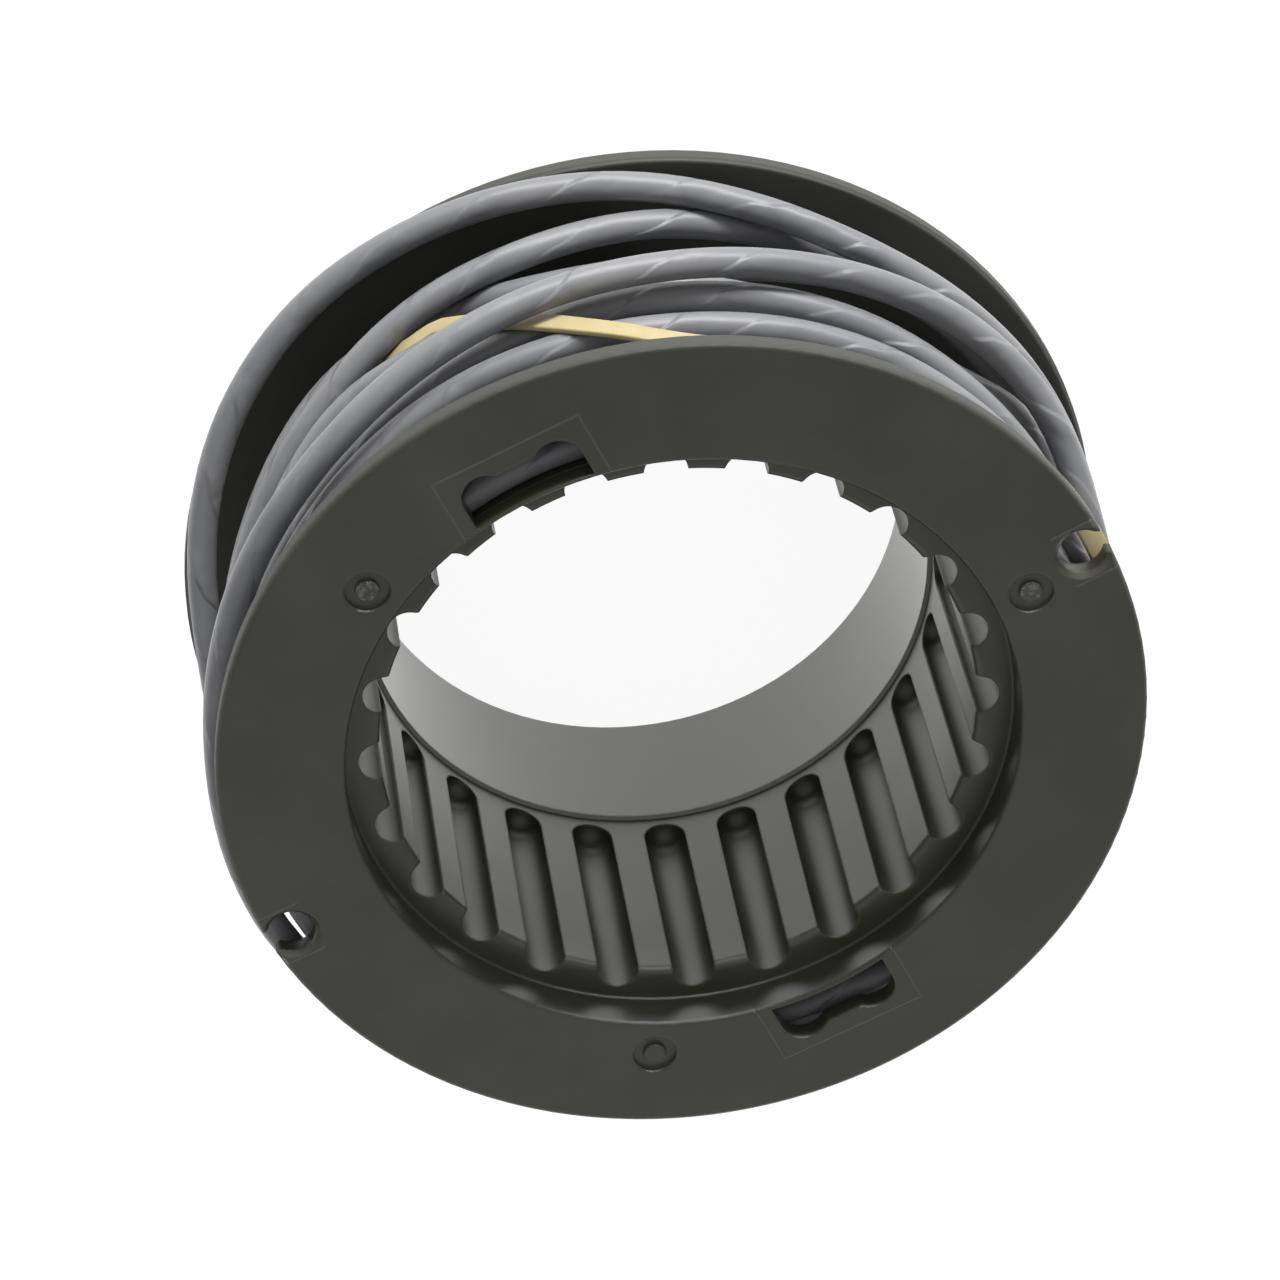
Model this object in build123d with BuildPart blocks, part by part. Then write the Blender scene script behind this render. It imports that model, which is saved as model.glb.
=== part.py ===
"""Trimmer line spool: a moulded spool with a grooved bore, its wound line and a band that holds it.

Millimetres. +Z runs along the bore, from the neck's end, which the spool stands on, to the front
flange with the grooved mouth. The origin is on the bore's axis at the neck's end.
"""
import os
from math import asin, cos, radians, sin

from build123d import *

os.makedirs("parts", exist_ok=True)

# Spool: lengths along the axis
overall_height = 32.0
neck_length = 7.3
smooth_bore_length = 11.4
mouth_depth = 2.85
flange_thickness = 1.4

# Spool: diameters
bore_diameter = 39.4
land_step = 0.3
mouth_diameter = 45.0
drum_diameter = 45.6
neck_wall = 2.1
front_flange_diameter = 62.0
back_flange_diameter = 63.7

# Spool: rounded edges
rim_round = 0.35
mouth_chamfer = 0.15
tab_round = 0.45
neck_chamfer = 0.5
rim_chamfer = 0.25

# Grooves in the bore, open at the mouth and blind at the other end
groove_count = 24
groove_width = 2.9
groove_depth = 1.5
groove_to_seam = 0.8

# Line exits in the front flange: a round hole that opens to the rim through a narrower throat
exit_angles = (30.0, -148.0)
exit_hole_diameter = 3.2
exit_rim_distance = 1.7
exit_throat = 1.9
exit_lead_in = 0.4

# Two-lobed slots through the front flange, close against the drum
slot_angles = (-59.6, 120.6)
slot_half_width = 4.2
slot_lobe_radius = 1.65
slot_reach = 3.1
slot_waist = 0.5
slot_corner_round = 0.6

# Gate marks on the front flange: a round dimple with a stub in it
gate_angles = (-30.0, 90.0, 210.0)
gate_radius = 25.1
gate_dimple_diameter = 3.0
gate_dimple_depth = 0.3
gate_stub_diameter = 1.5
gate_stub_height = 0.25

# Line: a neat core of layers against the front flange, each with the turns it has room or length for
line_diameter = 2.0
layer_turns = (9, 7, 5, 4)
winding_clearance = 0.05
crest_share = 0.45

# Two loose turns over the core, each lying askew. A gap runs from a flange's inner face to the turn's middle
# line, at its lowest or highest side. The push moves the whole turn sideways.
loose_turns = {
    "back": {"radius": 29.9, "low_gap": 1.6, "high_gap": 4.5, "high_side": 115.0, "push": 0.9, "push_side": -35.0},
    "front": {"radius": 29.9, "low_gap": 10.4, "high_gap": 1.5, "high_side": 45.0, "push": 0.8, "push_side": -95.0},
}

# Band round the core and under the loose turns, lying askew too
band_width = 1.5
band_thickness = 0.4
band_clearance = 0.05
band_low_gap = 6.4
band_high_gap = 1.7
band_high_side = -157.0

# Sizes worked out from the ones above
bore_radius = bore_diameter / 2
land_radius = bore_radius + land_step
groove_floor_radius = land_radius + groove_depth
mouth_radius = mouth_diameter / 2
drum_radius = drum_diameter / 2
neck_radius = bore_radius + neck_wall
front_radius = front_flange_diameter / 2
back_radius = back_flange_diameter / 2
ledge_height = overall_height - mouth_depth
back_flange_top = neck_length + flange_thickness
front_flange_underside = overall_height - flange_thickness


# How near a point lies to a place that it is picked by
picking_tolerance = 0.01


def from_axis(point):
    """How far a point lies from the bore's axis."""
    return (point.X ** 2 + point.Y ** 2) ** 0.5


def edges_at(part, radius, height):
    """The part's edges whose every point is at one height and one distance from the axis."""
    found = []
    for edge in part.edges():
        ends = [edge @ share for share in (0, 0.5, 1)]
        if all(abs(p.Z - height) < picking_tolerance for p in ends):
            if all(abs(from_axis(p) - radius) < picking_tolerance for p in ends):
                found.append(edge)
    return ShapeList(found)


def radial_place(radius, angle, height):
    """A place at a radius and angle, with its own X axis pointing outwards."""
    x = radius * cos(radians(angle))
    y = radius * sin(radians(angle))
    return Location((x, y, height), (0, 0, angle))


# Solids placed by their lower or upper end
up = (Align.CENTER, Align.CENTER, Align.MIN)
down = (Align.CENTER, Align.CENTER, Align.MAX)

# Groove cutter: a U-shaped channel with a ball end, lying along +Z at angle 0
groove_end_height = smooth_bore_length + groove_to_seam
arch_height = groove_end_height + groove_width / 2
groove_centre_radius = groove_floor_radius - groove_width / 2
with BuildPart() as groove_cutter:
    with BuildSketch(Plane.XY.offset(arch_height)):
        with Locations((groove_centre_radius, 0)):
            Circle(groove_width / 2)
        with Locations((groove_centre_radius - groove_width / 2, 0)):
            Rectangle(groove_width, groove_width)
    extrude(amount=overall_height - arch_height)
    with Locations((groove_centre_radius, 0, arch_height)):
        Sphere(groove_width / 2)
    with Locations((groove_centre_radius - groove_width / 2, 0, arch_height)):
        Cylinder(groove_width / 2, groove_width, rotation=(0, 90, 0))

# Slot outline in its own frame: X outwards from the drum, Y along the slot
lobe_centre_y = slot_half_width - slot_lobe_radius
lobe_centre_x = drum_radius + slot_reach - slot_lobe_radius
waist_x = drum_radius + slot_reach - slot_waist
with BuildSketch() as slot_outline:
    Rectangle(lobe_centre_x, 2 * slot_half_width, align=(Align.MIN, Align.CENTER))
    Rectangle(waist_x, 2 * lobe_centre_y, align=(Align.MIN, Align.CENTER))
    with Locations((lobe_centre_x, lobe_centre_y), (lobe_centre_x, -lobe_centre_y)):
        Circle(slot_lobe_radius)
    corners = slot_outline.vertices()
    waist_corners = corners.filter_by(lambda v: abs(v.X - waist_x) < picking_tolerance)
    fillet(waist_corners, slot_corner_round)
    Circle(drum_radius, mode=Mode.SUBTRACT)

# Spool
with BuildPart() as spool:
    with BuildSketch(Plane.XZ):
        with BuildLine():
            Polyline(
                (bore_radius, 0),
                (neck_radius, 0),
                (neck_radius, neck_length),
                (back_radius, neck_length),
                (back_radius, back_flange_top),
                (drum_radius, back_flange_top),
                (drum_radius, front_flange_underside),
                (front_radius, front_flange_underside),
                (front_radius, overall_height),
                (mouth_radius, overall_height),
                (mouth_radius, ledge_height),
                (land_radius, ledge_height),
                (land_radius, smooth_bore_length),
                (bore_radius, smooth_bore_length),
                close=True,
            )
        make_face()
    revolve(axis=Axis.Z)

    # Rims, the neck's end and the mouth's edge
    chamfer(edges_at(spool, neck_radius, 0), neck_chamfer)
    chamfer(edges_at(spool, back_radius, neck_length), rim_chamfer)
    chamfer(edges_at(spool, back_radius, back_flange_top), rim_chamfer)
    chamfer(edges_at(spool, front_radius, front_flange_underside), rim_chamfer)
    fillet(edges_at(spool, front_radius, overall_height), rim_round)
    chamfer(edges_at(spool, mouth_radius, overall_height), mouth_chamfer)

    # Grooves, centred between the tabs
    half_pitch = 180 / groove_count
    with PolarLocations(0, groove_count, start_angle=half_pitch):
        add(groove_cutter.part, mode=Mode.SUBTRACT)
    fillet(edges_at(spool, land_radius, ledge_height), tab_round)

    # Gate marks
    dimple_floor = overall_height - gate_dimple_depth
    with Locations(*[radial_place(gate_radius, angle, overall_height) for angle in gate_angles]):
        Cylinder(gate_dimple_diameter / 2, gate_dimple_depth, align=down, mode=Mode.SUBTRACT)
    with Locations(*[radial_place(gate_radius, angle, dimple_floor) for angle in gate_angles]):
        Cylinder(gate_stub_diameter / 2, gate_stub_height, align=up)

    # Slots against the drum
    for angle in slot_angles:
        with BuildSketch(Plane.XY.offset(overall_height)):
            add(slot_outline.sketch, rotation=angle)
        extrude(amount=-flange_thickness, mode=Mode.SUBTRACT)

    # Line exits, with a lead-in round each hole
    exit_radius = front_radius - exit_rim_distance
    exit_hole_radius = exit_hole_diameter / 2
    for angle in exit_angles:
        with BuildSketch(Plane.XY.offset(overall_height)):
            with Locations(radial_place(exit_radius, angle, 0)):
                Circle(exit_hole_radius)
                Rectangle(2 * exit_rim_distance, exit_throat, align=(Align.MIN, Align.CENTER))
        extrude(amount=-flange_thickness, mode=Mode.SUBTRACT)
        with Locations(radial_place(exit_radius, angle, overall_height)):
            narrow_end = exit_hole_radius - exit_lead_in
            wide_end = exit_hole_radius + exit_lead_in
            Cone(narrow_end, wide_end, 2 * exit_lead_in, align=down, mode=Mode.SUBTRACT)

spool.part.label = "spool"
export_step(spool.part, "parts/spool.step")

# Layers of the winding: turns nest in the dips of the layer below, so its pitch sets the step between layers
line_radius = line_diameter / 2
turn_room = front_flange_underside - back_flange_top - 2 * winding_clearance - line_diameter
turn_pitch = turn_room / (layer_turns[0] - 1)
layer_step = (line_diameter ** 2 - (turn_pitch / 2) ** 2) ** 0.5
winding_inner_radius = drum_radius + winding_clearance
winding_outer_radius = winding_inner_radius + line_diameter + layer_step * (len(layer_turns) - 1)
row_end = front_flange_underside - winding_clearance


def layer_radius(layer):
    """The radius that a layer's turns lie at."""
    return winding_inner_radius + line_radius + layer * layer_step


def tilted_plane(radius, low_gap, high_gap, high_side, push=0.0, push_side=0.0):
    """A plane across the bore's axis, whose own X axis climbs to its high side, gaps being at a radius."""
    lowest = back_flange_top + low_gap
    highest = front_flange_underside - high_gap
    lean = asin((highest - lowest) / (2 * radius))
    side = radians(high_side)
    origin = (push * cos(radians(push_side)), push * sin(radians(push_side)), (lowest + highest) / 2)
    uphill = (cos(lean) * cos(side), cos(lean) * sin(side), sin(lean))
    normal = (-sin(lean) * cos(side), -sin(lean) * sin(side), cos(lean))
    return Plane(origin=origin, x_dir=uphill, z_dir=normal)


def band_ring(spare):
    """The band's ring with a spare margin all round: a tube cut to its width by two tilted planes."""
    inner = winding_outer_radius + band_clearance - spare
    outer = winding_outer_radius + band_clearance + band_thickness + spare
    with BuildPart() as ring:
        with BuildSketch(Plane.XY):
            Circle(outer)
            Circle(inner, mode=Mode.SUBTRACT)
        extrude(amount=overall_height)
        with BuildSketch(tilted_plane(winding_outer_radius, band_low_gap, band_high_gap, band_high_side)):
            Circle(2 * outer)
        extrude(amount=band_width / 2 + spare, both=True, mode=Mode.INTERSECT)
    return ring.part


# Wound line: one solid, with a ridge for each turn of a layer that no other layer covers
with BuildPart() as trimmer_line:
    with BuildSketch(Plane.XZ):
        for layer, turns in enumerate(layer_turns):
            first_turn = row_end - line_radius - (layer % 2) * turn_pitch / 2
            last_turn = first_turn - (turns - 1) * turn_pitch
            with BuildLine():
                Polyline(
                    (winding_inner_radius, row_end),
                    (layer_radius(layer), row_end),
                    (layer_radius(layer), last_turn - line_radius),
                    (winding_inner_radius, last_turn - line_radius),
                    close=True,
                )
            make_face()
            for turn in range(turns):
                centre = first_turn - turn * turn_pitch
                crest_radius = layer_radius(layer) + line_radius
                half_crest = crest_share * line_radius
                with BuildLine():
                    Polyline(
                        (layer_radius(layer), centre + line_radius),
                        (crest_radius, centre + half_crest),
                        (crest_radius, centre - half_crest),
                        (layer_radius(layer), centre - line_radius),
                        close=True,
                    )
                make_face()
    revolve(axis=Axis.Z)
    for turn in loose_turns.values():
        plane = tilted_plane(**turn)
        with BuildSketch(Plane(origin=plane.origin, x_dir=plane.x_dir, z_dir=-plane.y_dir)):
            with Locations((turn["radius"], 0)):
                RegularPolygon(line_radius, 6)
        revolve(axis=Axis(plane.origin, plane.z_dir))
    add(band_ring(band_clearance), mode=Mode.SUBTRACT)

trimmer_line.part.label = "trimmer_line"
export_step(trimmer_line.part, "parts/trimmer_line.step")

# Band: a flat ring that fits the winding
with BuildPart() as retaining_band:
    add(band_ring(0))

retaining_band.part.label = "retaining_band"
export_step(retaining_band.part, "parts/retaining_band.step")

for piece in (spool, trimmer_line, retaining_band):
    print(piece.part.label, piece.part.is_valid, round(piece.part.volume, 1))
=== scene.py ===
"""Looks of a trimmer line spool: satin black nylon spool, one wound line and the flat band that holds it.

Metres, in the frame of the solids: +Z along the bore towards the grooved mouth, z = 0 at the neck's end.
"""
import math

import bmesh
import bpy
from mathutils import Matrix, Vector


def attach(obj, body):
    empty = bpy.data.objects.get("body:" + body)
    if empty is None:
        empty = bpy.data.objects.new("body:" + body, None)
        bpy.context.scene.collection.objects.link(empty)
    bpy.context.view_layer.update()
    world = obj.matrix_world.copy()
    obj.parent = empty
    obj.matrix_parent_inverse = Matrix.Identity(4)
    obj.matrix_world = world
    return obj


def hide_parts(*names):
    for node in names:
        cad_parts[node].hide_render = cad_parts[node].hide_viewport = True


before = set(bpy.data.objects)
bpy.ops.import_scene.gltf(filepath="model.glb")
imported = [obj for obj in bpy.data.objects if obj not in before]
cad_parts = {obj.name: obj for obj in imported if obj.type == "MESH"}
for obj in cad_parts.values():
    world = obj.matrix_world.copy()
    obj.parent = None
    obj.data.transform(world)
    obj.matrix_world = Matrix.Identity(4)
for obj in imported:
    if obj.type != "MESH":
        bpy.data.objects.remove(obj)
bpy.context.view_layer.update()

# Sizes that the winding follows
FRONT_HEIGHT = 0.032
FRONT_RADIUS = 0.031
LINE_DIAMETER = 0.002
LINE_SIDES = 16
POINTS_A_TURN = 24
RINGS_A_POINT = 6

# Places on the spool where light or shade is painted, some also with a rougher finish: a painted light line
# on the collar's step, painted shade on the mouth and its ledge and in the winding space
STEP_HEIGHT = 0.0114
LEDGE_HEIGHT = 0.02915
MOUTH_RADIUS = 0.0225
MOUTH_CHAMFER = 0.00015
DRUM_RADIUS = 0.0228
BACK_FLANGE_FACE = 0.0087
BACK_RADIUS = 0.03185
FLANGE_THICKNESS = 0.0014
RIM_WIDTH = 0.00015
EDGE_BLEND = 0.0001

# Marks on the front face: outlines round the slots, lines beside the exits, torn stubs at two of the gates
SCRIBE_WIDTH = 0.00013
SLOT_ANGLE = -59.5
SCRIBED_REACH = 0.0268
SCRIBED_HALF_WIDTH = 0.0052
EXIT_ANGLES = (30.0, -148.0)
EXIT_SCRIBE_OFFSET = 0.0021
EXIT_SCRIBE_START = 0.0277
GATE_RADIUS = 0.0251
TORN_GATE_ANGLES = (-30.0, 210.0)
TORN_CORE = 0.0008
TORN_REACH = 0.0015

# How far apart the creases in the line are, along it
CREASE_SPACING = 0.0066

# Stage and light
FLOOR_HALF_SIZE = 3.0
WINDOW_PLACE = (-0.06, -0.60, 0.04)
WINDOW_TARGET = (0.0, 0.0, 0.015)
WINDOW_WIDTH = 0.60
WINDOW_HEIGHT = 0.16
WINDOW_POWER = 8.0

# Camera
CAMERA_PLACE = (0.05171, -0.18532, 0.30229)
CAMERA_FORWARD = (-0.14684, 0.54076, -0.82826)
CAMERA_RIGHT = (-0.98916, -0.08028, 0.12295)
CAMERA_LENS = 141.36
CAMERA_SENSOR = 36.0


# Shader maths

class Value:
    """A socket that takes part in Python expressions, each operator adding its Math node."""

    def __init__(self, nodes, socket):
        self.nodes = nodes
        self.socket = socket

    def math(self, operation, *values):
        return self.nodes.add("ShaderNodeMath", {"operation": operation}, dict(enumerate(values)))[0]

    def __add__(self, other):
        return self.math("ADD", self, other)

    __radd__ = __add__

    def __sub__(self, other):
        return self.math("SUBTRACT", self, other)

    def __rsub__(self, other):
        return self.math("SUBTRACT", other, self)

    def __mul__(self, other):
        return self.math("MULTIPLY", self, other)

    __rmul__ = __mul__

    def __abs__(self):
        return self.math("ABSOLUTE", self)

    def step(self, start, end):
        """0 below start and 1 above end, with a smooth rise between them. End may be the lower one."""
        node = self.nodes.add("ShaderNodeMapRange", {"interpolation_type": "SMOOTHSTEP"},
                              {"Value": self, "From Min": start, "From Max": end})
        return node["Result"]

    def beyond(self, edge):
        """0 short of an edge on the spool and 1 past it."""
        return self.step(edge - EDGE_BLEND, edge + EDGE_BLEND)

    def short_of(self, edge):
        """1 short of an edge on the spool and 0 past it."""
        return self.step(edge + EDGE_BLEND, edge - EDGE_BLEND)

    def larger(self, other):
        return self.math("MAXIMUM", self, other)

    def root(self):
        return self.math("SQRT", self)

    def fraction(self):
        return self.math("FRACT", self)


class Added:
    """A node that was added, with its outputs by number or name."""

    def __init__(self, nodes, node):
        self.nodes = nodes
        self.node = node

    def __getitem__(self, key):
        return Value(self.nodes, self.node.outputs[key])


class Nodes:
    """The node tree of one material or of the world, cleared and filled again."""

    def __init__(self, owner):
        owner.use_nodes = True
        self.tree = owner.node_tree
        self.tree.nodes.clear()

    def add(self, kind, settings=None, inputs=None):
        node = self.tree.nodes.new(kind)
        for name, setting in (settings or {}).items():
            setattr(node, name, setting)
        for key, value in (inputs or {}).items():
            if isinstance(value, Value):
                self.tree.links.new(value.socket, node.inputs[key])
            else:
                node.inputs[key].default_value = value
        return Added(self, node)

    def mix(self, amount, first, second):
        """A colour between two others, by an amount from 0 to 1."""
        return self.add("ShaderNodeMix", {"data_type": "RGBA"}, {0: amount, 6: first, 7: second})[2]

    def noise(self, place, scale, detail=2.0, roughness=0.5):
        inputs = {"Vector": place, "Scale": scale, "Detail": detail, "Roughness": roughness}
        return self.add("ShaderNodeTexNoise", {}, inputs)["Fac"]

    def relief(self, height, strength, distance, beneath=None):
        """Normals of a bump, over other normals where given."""
        inputs = {"Height": height, "Strength": strength, "Distance": distance}
        if beneath is not None:
            inputs["Normal"] = beneath
        return self.add("ShaderNodeBump", {}, inputs)["Normal"]


def colour(red, green, blue):
    """A colour for a socket, from linear shares of red, green and blue."""
    return (red, green, blue, 1.0)


def surface_material(name):
    material = bpy.data.materials.new(name)
    return material, Nodes(material)


def finish_material(nodes, inputs):
    shader = nodes.add("ShaderNodeBsdfPrincipled", {}, inputs)
    nodes.add("ShaderNodeOutputMaterial", {}, {"Surface": shader["BSDF"]})


def any_of(masks):
    """The largest of several masks."""
    largest = masks[0]
    for mask in masks[1:]:
        largest = largest.larger(mask)
    return largest


def turned(spot, angle):
    """How far a place lies along and across the direction at an angle round the bore's axis."""
    turn = math.radians(angle)
    along = spot["X"] * math.cos(turn) + spot["Y"] * math.sin(turn)
    across = spot["Y"] * math.cos(turn) - spot["X"] * math.sin(turn)
    return along, across


def scribed_lines(spot):
    """A mask of the fine lines in the front face: a box round each slot and two lines beside each exit."""
    along, across = turned(spot, SLOT_ANGLE)
    outline = abs((abs(along) - SCRIBED_REACH).larger(abs(across) - SCRIBED_HALF_WIDTH))
    lines = [outline.step(SCRIBE_WIDTH, 0.0)]
    for angle in EXIT_ANGLES:
        along, across = turned(spot, angle)
        beside = abs(abs(across) - EXIT_SCRIBE_OFFSET).step(SCRIBE_WIDTH, 0.0)
        lines.append(beside * along.step(EXIT_SCRIBE_START, EXIT_SCRIBE_START + 0.0003))
    return any_of(lines)


def torn_gates(spot):
    """A mask of the gate marks whose stubs tore off."""
    stubs = []
    for angle in TORN_GATE_ANGLES:
        along, across = turned(spot, angle)
        outward = along - GATE_RADIUS
        away_squared = outward * outward + across * across
        stubs.append(away_squared.step(TORN_REACH ** 2, TORN_CORE ** 2))
    return any_of(stubs)


def painted_shade_and_dull_places(spot):
    """Two masks: where painted shade darkens the surface and its finish is also less glossy than the face,
    and the mouth's wall, where painted shade only darkens it.
    """
    height = spot["Z"]
    away = (spot["X"] * spot["X"] + spot["Y"] * spot["Y"]).root()
    winding_space = (away.beyond(DRUM_RADIUS - 2 * EDGE_BLEND)
                     * height.beyond(BACK_FLANGE_FACE - EDGE_BLEND)
                     * height.short_of(FRONT_HEIGHT - FLANGE_THICKNESS))
    front_rim = away.beyond(FRONT_RADIUS - RIM_WIDTH) * height.beyond(FRONT_HEIGHT / 2)
    back_rim = away.beyond(BACK_RADIUS - RIM_WIDTH)
    grooved_bore = (away.short_of(MOUTH_RADIUS - 2 * EDGE_BLEND)
                    * height.beyond(STEP_HEIGHT + EDGE_BLEND)
                    * height.short_of(LEDGE_HEIGHT - EDGE_BLEND))
    mouth_wall_painted_shade = away.short_of(MOUTH_RADIUS + MOUTH_CHAMFER) * height.beyond(LEDGE_HEIGHT + EDGE_BLEND)
    return any_of([winding_space, front_rim, back_rim, 0.28 * grooved_bore]), mouth_wall_painted_shade


def moulded_plastic():
    """Satin black nylon: fine grain, soft edges, scribed lines and torn gate stubs; painted shade darkens the
    rims, the bore, the mouth and the winding space, all but the mouth also duller, and a painted light line
    runs along the collar's step.
    """
    material, nodes = surface_material("satin_black_nylon")
    place = nodes.add("ShaderNodeTexCoord")["Object"]
    spot = nodes.add("ShaderNodeSeparateXYZ", {}, {"Vector": place})
    grain = nodes.noise(place, 2600.0, 3.0, 0.6)
    cloudy = nodes.noise(place, 130.0, 3.0, 0.55)
    on_face = spot["Z"].beyond(FRONT_HEIGHT - 2 * EDGE_BLEND)
    scribed = scribed_lines(spot) * on_face
    rags = nodes.noise(place, 1300.0, 3.0, 0.6).step(0.44, 0.6) * torn_gates(spot) * on_face
    # Where a painted light line runs along the collar's step
    painted_light_at_step = abs(spot["Z"] - STEP_HEIGHT).step(0.00006, 0.00002)
    # Masks for painted shade, where the finish is also rougher, and for the mouth's wall, which only gets
    # painted shade
    matt_and_painted_shade, mouth_wall_painted_shade = painted_shade_and_dull_places(spot)

    base = nodes.mix(cloudy.step(0.35, 0.7), colour(0.030, 0.0305, 0.019), colour(0.043, 0.0435, 0.028))
    # Painted highlight: a light line along the collar's step, where the step would otherwise lie in shade
    base = nodes.mix(painted_light_at_step, base, colour(0.30, 0.30, 0.28))
    # Painted shade: the winding space, the rims, the grooved bore and the mouth's wall drawn darker towards
    # black
    base = nodes.mix(0.65 * matt_and_painted_shade.larger(mouth_wall_painted_shade), base, colour(0.002, 0.002, 0.002))
    base = nodes.mix(0.5 * scribed, base, colour(0.085, 0.085, 0.078))
    base = nodes.mix(rags, base, colour(0.13, 0.125, 0.095))
    soft_edge = nodes.add("ShaderNodeBevel", {"samples": 4}, {"Radius": 0.0003})["Normal"]
    relief = nodes.relief(grain, 0.12, 0.00006, soft_edge)
    relief = nodes.relief(rags - 0.25 * scribed, 0.6, 0.00025, relief)
    finish_material(nodes, {
        "Base Color": base,
        "Roughness": 0.30 + 0.10 * cloudy + 0.40 * matt_and_painted_shade,
        "IOR": 1.72,
        "Normal": relief,
    })
    return material


def twisted_line(length):
    """Dark grey monofilament with shallow creases that its twist left, running round it."""
    material, nodes = surface_material("twisted_grey_line")
    lay = nodes.add("ShaderNodeSeparateXYZ", {}, {"Vector": nodes.add("ShaderNodeTexCoord")["UV"]})
    place = nodes.add("ShaderNodeTexCoord")["Object"]
    wobble = nodes.noise(place, 160.0, 2.0)
    way_on = (lay["X"] * (length / CREASE_SPACING) + 2.0 * lay["Y"] + 0.9 * wobble).fraction()
    patchy = nodes.noise(place, 260.0, 2.0).step(0.3, 0.65)
    crease = way_on.step(0.35, 0.88) * way_on.step(1.0, 0.88) * (0.15 + 0.85 * patchy)
    grain = nodes.noise(place, 900.0, 3.0)
    uneven = nodes.noise(place, 75.0, 2.0)
    base = nodes.mix(uneven.step(0.3, 0.7), colour(0.145, 0.148, 0.158), colour(0.190, 0.192, 0.198))
    finish_material(nodes, {
        "Base Color": base,
        "Roughness": 0.40 + 0.10 * grain,
        "IOR": 1.53,
        "Normal": nodes.relief(0.10 * grain + crease, 0.7, 0.0002),
    })
    return material


def tan_rubber():
    """Flat tan rubber with a dull, slightly uneven face."""
    material, nodes = surface_material("tan_rubber")
    place = nodes.add("ShaderNodeTexCoord")["Object"]
    uneven = nodes.noise(place, 900.0, 3.0)
    base = nodes.mix(uneven, colour(0.38, 0.315, 0.155), colour(0.48, 0.405, 0.215))
    finish_material(nodes, {
        "Base Color": base,
        "Roughness": 0.55 + 0.1 * uneven,
        "Normal": nodes.relief(uneven, 0.2, 0.0001),
    })
    return material


def pale_floor():
    """White where the camera or a mirroring surface sees the floor, with the object's shadow kept on it."""
    material, nodes = surface_material("pale_floor")
    rays = nodes.add("ShaderNodeLightPath")
    seen = any_of([rays["Is Camera Ray"], rays["Is Glossy Ray"], rays["Is Transmission Ray"]])
    lit = nodes.add("ShaderNodeBsdfDiffuse", {}, {"Color": colour(0.80, 0.80, 0.80)})
    faint = nodes.add("ShaderNodeBsdfDiffuse", {}, {"Color": colour(0.30, 0.30, 0.30)})
    glow = nodes.add("ShaderNodeEmission", {}, {"Color": colour(1.0, 1.0, 1.0),
                                                "Strength": 0.90 + 0.8 * rays["Is Glossy Ray"]})
    both = nodes.add("ShaderNodeAddShader", {}, {0: faint["BSDF"], 1: glow["Emission"]})
    shown = nodes.add("ShaderNodeMixShader", {}, {0: seen, 1: lit["BSDF"], 2: both["Shader"]})
    nodes.add("ShaderNodeOutputMaterial", {}, {"Surface": shown["Shader"]})
    return material


# Route of the line: stations as (angle, distance from the axis, depth below the front face), where both
# lengths are shares of the front flange's radius. A turn runs from -180 to 180 degrees. The layers next to
# the drum are wound neatly, to and fro between the front flange and a depth that their turns reach.

INNER_LAYERS = (
    {"radius": 0.768, "depth": 0.080, "turns": 9},
    {"radius": 0.820, "depth": 0.113, "turns": 7},
    {"radius": 0.872, "depth": 0.080, "turns": 5},
)
LAYER_PITCH = 0.0655
LAYER_SWAY = 0.003
SWAY_CHANGE = 2.4

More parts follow.
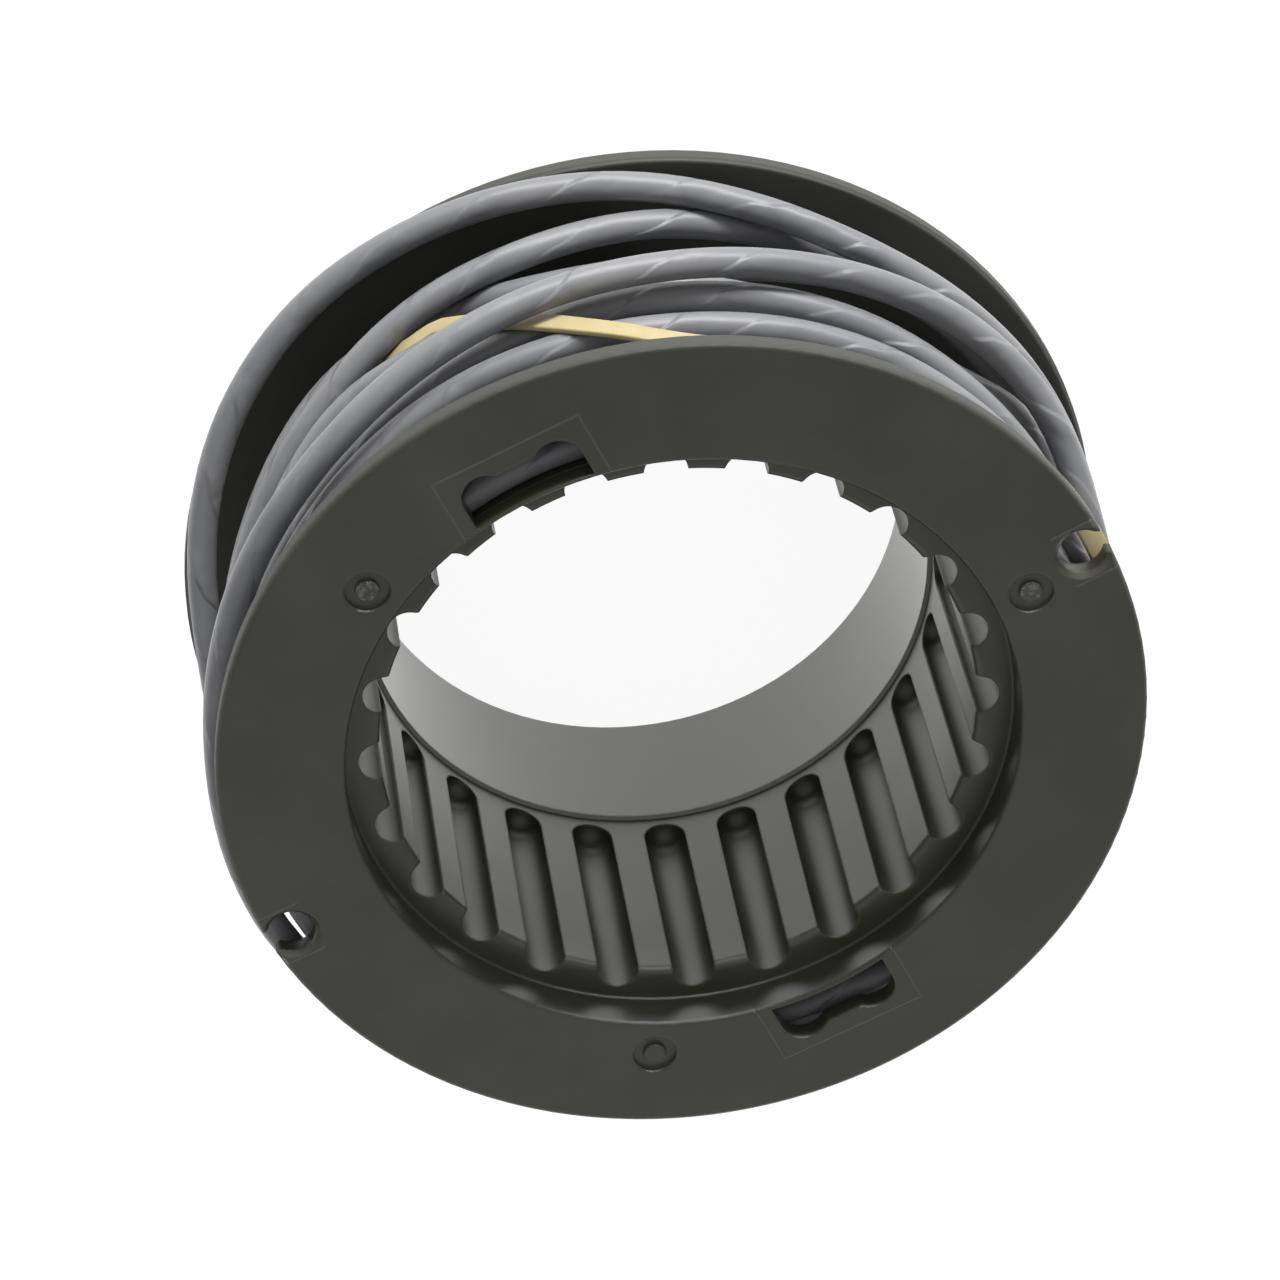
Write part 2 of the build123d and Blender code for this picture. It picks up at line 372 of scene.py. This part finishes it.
OUTER_TURNS = (
    # The top layer's three neat turns
    ((-165, 0.920, 0.285), (-150, 0.920, 0.280), (-135, 0.920, 0.300), (-120, 0.920, 0.335),
     (-105, 0.920, 0.345), (-90, 0.920, 0.345), (-75, 0.920, 0.320), (-60, 0.920, 0.290),
     (-45, 0.920, 0.260), (-30, 0.920, 0.230), (-15, 0.920, 0.210), (0, 0.920, 0.204),
     (60, 0.920, 0.205), (120, 0.920, 0.205)),
    ((-165, 0.920, 0.203), (-135, 0.920, 0.200), (-120, 0.920, 0.215), (-105, 0.920, 0.220),
     (-90, 0.920, 0.210), (-75, 0.920, 0.205), (-60, 0.920, 0.215), (-40, 0.920, 0.190),
     (-20, 0.920, 0.155), (-5, 0.920, 0.142), (60, 0.920, 0.138), (120, 0.920, 0.130)),
    ((-165, 0.920, 0.115), (-120, 0.920, 0.110), (-90, 0.920, 0.090), (-75, 0.920, 0.090),
     (-60, 0.920, 0.110), (-40, 0.920, 0.110), (-20, 0.920, 0.085), (-5, 0.920, 0.080),
     (15, 0.915, 0.080), (35, 0.913, 0.080), (50, 0.925, 0.085), (65, 0.960, 0.100),
     (80, 1.000, 0.145), (95, 1.010, 0.200), (110, 1.000, 0.260), (122, 0.970, 0.300),
     (135, 0.940, 0.335), (147, 0.925, 0.355), (160, 0.920, 0.380)),
    # The loose turns over them, those nearest the drum first
    ((-170, 0.900, 0.450), (-158, 0.915, 0.462), (-143, 0.937, 0.468), (-137, 0.910, 0.450),
     (-131, 0.885, 0.425), (-121, 0.872, 0.410), (-105, 0.875, 0.405), (-90, 0.895, 0.415),
     (-75, 0.920, 0.412), (-60, 0.940, 0.375), (-50, 0.935, 0.382), (-40, 0.942, 0.418),
     (-30, 0.944, 0.382), (-20, 0.934, 0.318), (-5, 0.920, 0.267), (10, 0.920, 0.270),
     (30, 0.920, 0.280), (60, 0.920, 0.320), (90, 0.920, 0.360), (120, 0.920, 0.410),
     (150, 0.920, 0.460)),
    ((-180, 0.920, 0.510), (-165, 0.920, 0.560), (-150, 0.925, 0.605), (-135, 0.930, 0.635),
     (-120, 0.915, 0.610), (-105, 0.903, 0.545), (-90, 0.900, 0.490), (-82, 0.900, 0.485),
     (-75, 0.900, 0.492), (-66, 0.885, 0.530), (-57, 0.878, 0.580), (-50, 0.895, 0.612),
     (-40, 0.930, 0.580), (-25, 0.937, 0.515), (-15, 0.943, 0.457), (-5, 0.940, 0.393),
     (10, 0.920, 0.430), (25, 0.930, 0.460), (40, 0.930, 0.490), (70, 0.925, 0.510),
     (100, 0.920, 0.530), (130, 0.915, 0.570), (160, 0.900, 0.620)),
    ((-180, 0.890, 0.660), (-165, 0.888, 0.690), (-150, 0.900, 0.700), (-120, 0.900, 0.700),
     (-105, 0.900, 0.680), (-90, 0.925, 0.660), (-75, 0.930, 0.620), (-60, 0.960, 0.555),
     (-50, 0.955, 0.540), (-40, 0.950, 0.500), (-25, 0.950, 0.440), (-15, 0.950, 0.372),
     (-5, 0.953, 0.328), (10, 0.950, 0.345), (25, 0.940, 0.375), (40, 0.950, 0.390),
     (55, 0.980, 0.385), (70, 1.000, 0.370), (100, 1.000, 0.360), (130, 1.000, 0.365),
     (160, 0.985, 0.365)),
    ((-180, 0.970, 0.380), (-168, 0.965, 0.420), (-155, 0.985, 0.500), (-143, 0.985, 0.560),
     (-130, 0.980, 0.570), (-115, 0.975, 0.580), (-100, 0.975, 0.645), (-85, 0.985, 0.710),
     (-70, 1.010, 0.720), (-50, 1.035, 0.720), (-33, 1.048, 0.700), (-20, 1.045, 0.620),
     (-8, 1.016, 0.578), (0, 0.984, 0.500), (10, 0.972, 0.420), (25, 0.978, 0.335),
     (40, 0.985, 0.290), (55, 0.990, 0.260), (70, 1.030, 0.220), (82, 1.068, 0.180),
     (95, 1.075, 0.150), (108, 1.050, 0.130), (125, 1.005, 0.120), (150, 1.000, 0.125),
     (170, 1.000, 0.150)),
    ((-178, 0.965, 0.180), (-164, 0.962, 0.270), (-152, 0.975, 0.360), (-142, 1.000, 0.420),
     (-131, 1.000, 0.430), (-120, 1.000, 0.410), (-105, 1.000, 0.375), (-90, 1.000, 0.335),
     (-72, 1.010, 0.290), (-58, 1.015, 0.240), (-45, 1.010, 0.200), (-31, 1.005, 0.160),
     (-14, 1.000, 0.150), (0, 0.985, 0.105), (15, 0.988, 0.100), (25, 0.995, 0.100),
     (35, 1.000, 0.100), (52, 0.995, 0.100)),
)

# The band's middle line, in the same kind of stations
BAND_STATIONS = (
    (-180, 0.960, 0.100), (-165, 0.962, 0.080), (-148, 0.972, 0.072), (-120, 0.960, 0.074),
    (-95, 0.960, 0.074), (-88, 0.960, 0.074), (-82.7, 0.960, 0.109), (-78.9, 0.960, 0.149),
    (-73.1, 0.960, 0.213), (-67.6, 0.960, 0.283), (-62, 0.965, 0.345), (-58, 0.960, 0.395),
    (-55.3, 0.948, 0.443), (-51, 0.938, 0.462), (-47.5, 0.917, 0.512), (-43.8, 0.882, 0.600),
    (-38, 0.882, 0.610), (-30, 0.885, 0.585), (-15, 0.887, 0.550), (0, 0.888, 0.520),
    (25, 0.886, 0.475), (45, 0.910, 0.435), (60, 0.930, 0.400), (75, 0.957, 0.360),
    (90, 0.961, 0.320), (105, 0.961, 0.280), (120, 0.961, 0.240), (150, 0.961, 0.160),
)
BAND_WIDTH = 0.0015
BAND_THICKNESS = 0.00042
BAND_EDGE_ROUND = 0.00012
BAND_STEPS = 240
SAME_PLACE = 1e-7

# The band turns its face towards the front flange near one exit: by how much, at which angle, and how far
# the turn reaches to each side of it, all in degrees
BAND_TWIST = 70.0
BAND_TWIST_ANGLE = -148.0
BAND_TWIST_SPREAD = 24.0


def smooth_course(stations, angle):
    """The distance and depth at an angle, on a smooth line through the stations."""
    later = 1
    while later < len(stations) - 1 and stations[later][0] < angle:
        later += 1
    before = stations[max(later - 2, 0)]
    start = stations[later - 1]
    end = stations[later]
    after = stations[min(later + 1, len(stations) - 1)]
    span = end[0] - start[0]
    share = (angle - start[0]) / span
    weights = (
        2 * share ** 3 - 3 * share ** 2 + 1,
        share ** 3 - 2 * share ** 2 + share,
        3 * share ** 2 - 2 * share ** 3,
        share ** 3 - share ** 2,
    )
    course = []
    for part in (1, 2):
        slope_in = (end[part] - before[part]) / (end[0] - before[0])
        slope_out = (after[part] - start[part]) / (after[0] - start[0])
        pieces = (start[part], slope_in * span, end[part], slope_out * span)
        course.append(sum(weight * piece for weight, piece in zip(weights, pieces)))
    return course


def place_at(angle, distance, depth):
    """The point at a station, in metres."""
    turn = math.radians(angle)
    radius = distance * FRONT_RADIUS
    return Vector((radius * math.cos(turn), radius * math.sin(turn), FRONT_HEIGHT - depth * FRONT_RADIUS))


def line_stations():
    """All the stations of the line, one turn after another, with angles that keep growing."""
    stations = []
    turn = 0
    side = 1
    for layer in INNER_LAYERS:
        last = (layer["turns"] - 1) * LAYER_PITCH
        for count in range(layer["turns"]):
            near = layer["depth"] + (count if side > 0 else layer["turns"] - 1 - count) * LAYER_PITCH
            sway = LAYER_SWAY * math.sin(SWAY_CHANGE * turn)
            stations.append((360 * turn - 180, layer["radius"], near))
            stations.append((360 * turn - 90, layer["radius"], near + sway))
            stations.append((360 * turn, layer["radius"], near - sway))
            stations.append((360 * turn + 90, layer["radius"], near))
            turn += 1
        side = -side
    for outer_turn in OUTER_TURNS:
        stations.extend((360 * turn + angle, distance, depth) for angle, distance, depth in outer_turn)
        turn += 1
    return stations


def line_route():
    """The control points of the line's spline, set out so that its curve keeps each turn's radius."""
    stations = line_stations()
    step = 360 / POINTS_A_TURN
    shrink = (3 + math.cos(math.radians(step))) / 4
    first = stations[0][0]
    last = stations[-1][0]
    count = int((last - first) / step)
    points = []
    for index in range(count + 1):
        angle = first + index * (last - first) / count
        distance, depth = smooth_course(stations, angle)
        points.append(place_at(angle, distance / shrink, depth))
    return points


def spline_points(name, points, resolution):
    """The points of a smooth spline through the route, as Blender reads it."""
    curve = bpy.data.curves.new(name, "CURVE")
    curve.dimensions = "3D"
    spline = curve.splines.new("NURBS")
    spline.points.add(len(points) - 1)
    for point, place in zip(spline.points, points):
        point.co = (*place, 1.0)
    spline.order_u = 3
    spline.use_endpoint_u = True
    spline.resolution_u = resolution
    holder = bpy.data.objects.new(name, curve)
    mesh = bpy.data.meshes.new_from_object(holder)
    places = [vertex.co.copy() for vertex in mesh.vertices]
    bpy.data.objects.remove(holder)
    bpy.data.curves.remove(curve)
    bpy.data.meshes.remove(mesh)
    return places


def finished_piece(name, form, material):
    """A named object at the origin from a bmesh, which rides on the part and takes a slot's finish."""
    mesh = bpy.data.meshes.new(name)
    form.to_mesh(mesh)
    form.free()
    mesh.materials.append(material)
    piece = bpy.data.objects.new(name, mesh)
    bpy.context.scene.collection.objects.link(piece)
    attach(piece, "root")
    return piece


def path_length(places):
    return sum((after - before).length for before, after in zip(places, places[1:]))


def tube(path, radius, sides):
    """A round tube along a path, with U along its length, from 0 to 1, and V round it."""
    form = bmesh.new()
    layout = form.loops.layers.uv.new("lay")
    total = path_length(path)
    along = 0.0
    reaches = [0.0]
    for before, after in zip(path, path[1:]):
        along += (after - before).length
        reaches.append(along / total)
    rings = []
    outward = Vector((0.0, 0.0, 1.0))
    for index, place in enumerate(path):
        ahead = (path[min(index + 1, len(path) - 1)] - path[max(index - 1, 0)]).normalized()
        outward = (outward - ahead * outward.dot(ahead)).normalized()
        across = ahead.cross(outward)
        ring = []
        for side in range(sides):
            turn = 2 * math.pi * side / sides
            spoke = math.cos(turn) * outward + math.sin(turn) * across
            ring.append(form.verts.new(place + radius * spoke))
        rings.append(ring)
    for index in range(len(rings) - 1):
        for side in range(sides):
            beside = (side + 1) % sides
            face = form.faces.new((rings[index][side], rings[index][beside],
                                   rings[index + 1][beside], rings[index + 1][side]))
            face.smooth = True
            corners = ((index, side), (index, side + 1), (index + 1, side + 1), (index + 1, side))
            for loop, (ring_index, column) in zip(face.loops, corners):
                loop[layout].uv = (reaches[ring_index], column / sides)
    form.faces.new(list(reversed(rings[0])))
    form.faces.new(rings[-1])
    bmesh.ops.recalc_face_normals(form, faces=form.faces)
    return form


def flat_ring():
    """A strip's section spun right round the bore's axis, with its long edges rounded."""
    form = bmesh.new()
    half_width = BAND_WIDTH / 2
    half_thickness = BAND_THICKNESS / 2
    corners = [form.verts.new((FRONT_RADIUS + x * half_thickness, 0.0, z * half_width))
               for x, z in ((-1, -1), (1, -1), (1, 1), (-1, 1))]
    edges = [form.edges.new((corners[index], corners[(index + 1) % 4])) for index in range(4)]
    bmesh.ops.spin(form, geom=corners + edges, cent=(0, 0, 0), axis=(0, 0, 1), angle=2 * math.pi,
                   steps=BAND_STEPS, use_merge=True)
    bmesh.ops.recalc_face_normals(form, faces=form.faces)
    long_edges = [edge for edge in form.edges
                  if abs(edge.verts[0].co.z - edge.verts[1].co.z) < SAME_PLACE
                  and abs(edge.verts[0].co.xy.length - edge.verts[1].co.xy.length) < SAME_PLACE]
    bmesh.ops.bevel(form, geom=long_edges, offset=BAND_EDGE_ROUND, offset_type="OFFSET", segments=2,
                    profile=0.5, affect="EDGES", material=-1)
    return form


def band_ways(lapped, angle):
    """The band's middle at an angle, with the ways that its thickness and its width point there."""
    distance, depth = smooth_course(lapped, angle)
    ahead = smooth_course(lapped, angle + 1.0)
    behind = smooth_course(lapped, angle - 1.0)
    climb = (behind[1] - ahead[1]) * FRONT_RADIUS
    run = math.radians(2.0) * distance * FRONT_RADIUS
    lean = math.atan2(climb, run)
    turn = math.radians(angle)
    radial = Vector((math.cos(turn), math.sin(turn), 0.0))
    round_way = Vector((-radial.y, radial.x, 0.0))
    upright = Vector((0.0, 0.0, 1.0)) * math.cos(lean) - round_way * math.sin(lean)
    nearness = max(0.0, 1 - ((angle - BAND_TWIST_ANGLE) / BAND_TWIST_SPREAD) ** 2)
    twist = math.radians(BAND_TWIST) * nearness ** 2
    thickness_way = radial * math.cos(twist) + upright * math.sin(twist)
    width_way = upright * math.cos(twist) - radial * math.sin(twist)
    return place_at(angle, distance, depth), thickness_way, width_way


def flat_band():
    """The band: a flat ring, each part of it drawn to its station and turned as the band lies there."""
    form = flat_ring()
    lapped = [(angle + lap, distance, depth) for lap in (-360, 0, 360)
              for angle, distance, depth in BAND_STATIONS]
    for corner in form.verts:
        angle = math.degrees(math.atan2(corner.co.y, corner.co.x))
        outward = corner.co.xy.length - FRONT_RADIUS
        middle, thickness_way, width_way = band_ways(lapped, angle)
        corner.co = middle + outward * thickness_way + corner.co.z * width_way
    for face in form.faces:
        face.smooth = True
    return form


def lamp(name, place, target, width, height, power):
    """A soft rectangular lamp that faces a point."""
    light = bpy.data.lights.new(name, "AREA")
    light.shape = "RECTANGLE"
    light.size = width
    light.size_y = height
    light.energy = power
    holder = bpy.data.objects.new(name, light)
    holder.location = place
    holder.rotation_euler = (Vector(target) - Vector(place)).to_track_quat("-Z", "Y").to_euler()
    bpy.context.scene.collection.objects.link(holder)


def white_studio():
    """Surroundings: white where the camera sees them, and elsewhere dimmer away from the window, apart from
    a pale wall that the front face mirrors."""
    world = bpy.data.worlds.new("studio")
    bpy.context.scene.world = world
    air = Nodes(world)
    rays = air.add("ShaderNodeLightPath")
    way = air.add("ShaderNodeSeparateXYZ", {}, {"Vector": air.add("ShaderNodeTexCoord")["Generated"]})
    away_from_window = way["Y"].step(-0.35, 0.75)
    pale_wall = way["Y"].step(0.50, 0.58)
    strength = (0.50 - 0.28 * away_from_window + 0.42 * pale_wall).larger(rays["Is Camera Ray"])
    sky = air.add("ShaderNodeBackground", {}, {"Color": colour(1.0, 1.0, 1.0), "Strength": strength})
    air.add("ShaderNodeOutputWorld", {}, {"Surface": sky["Background"]})


def floor_sheet():
    """A flat floor that the spool stands on."""
    form = bmesh.new()
    bmesh.ops.create_grid(form, x_segments=1, y_segments=1, size=FLOOR_HALF_SIZE)
    mesh = bpy.data.meshes.new("floor")
    form.to_mesh(mesh)
    form.free()
    mesh.materials.append(pale_floor())
    floor = bpy.data.objects.new("floor", mesh)
    bpy.context.scene.collection.objects.link(floor)


def photo_camera():
    """The camera, where a fit to the photograph's circles puts it."""
    forward = Vector(CAMERA_FORWARD).normalized()
    right = Vector(CAMERA_RIGHT).normalized()
    right = (right - forward * right.dot(forward)).normalized()
    upward = right.cross(forward)
    camera = bpy.data.objects.new("camera", bpy.data.cameras.new("camera"))
    camera.data.sensor_width = CAMERA_SENSOR
    camera.data.lens = CAMERA_LENS
    camera.data.clip_start = 0.01
    turn = Matrix((right, upward, -forward)).transposed()
    camera.matrix_world = Matrix.Translation(CAMERA_PLACE) @ turn.to_4x4()
    bpy.context.scene.collection.objects.link(camera)
    bpy.context.scene.camera = camera


# The line
route = line_route()
course = spline_points("line_route", route, RINGS_A_POINT)
line_length = path_length(course)
line_form = tube(course, LINE_DIAMETER / 2, LINE_SIDES)
line = finished_piece("wound_line", line_form, twisted_line(line_length))
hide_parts("trimmer_line")

# The band
band = finished_piece("flat_band", flat_band(), tan_rubber())
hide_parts("retaining_band")

# The spool keeps its solid's shape
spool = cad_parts["spool"]
plastic = moulded_plastic()
spool.data.materials.clear()
spool.data.materials.append(plastic)

# Stage, light and camera
floor_sheet()
white_studio()
lamp("window", WINDOW_PLACE, WINDOW_TARGET, WINDOW_WIDTH, WINDOW_HEIGHT, WINDOW_POWER)
photo_camera()
bpy.context.scene.view_settings.view_transform = "Standard"
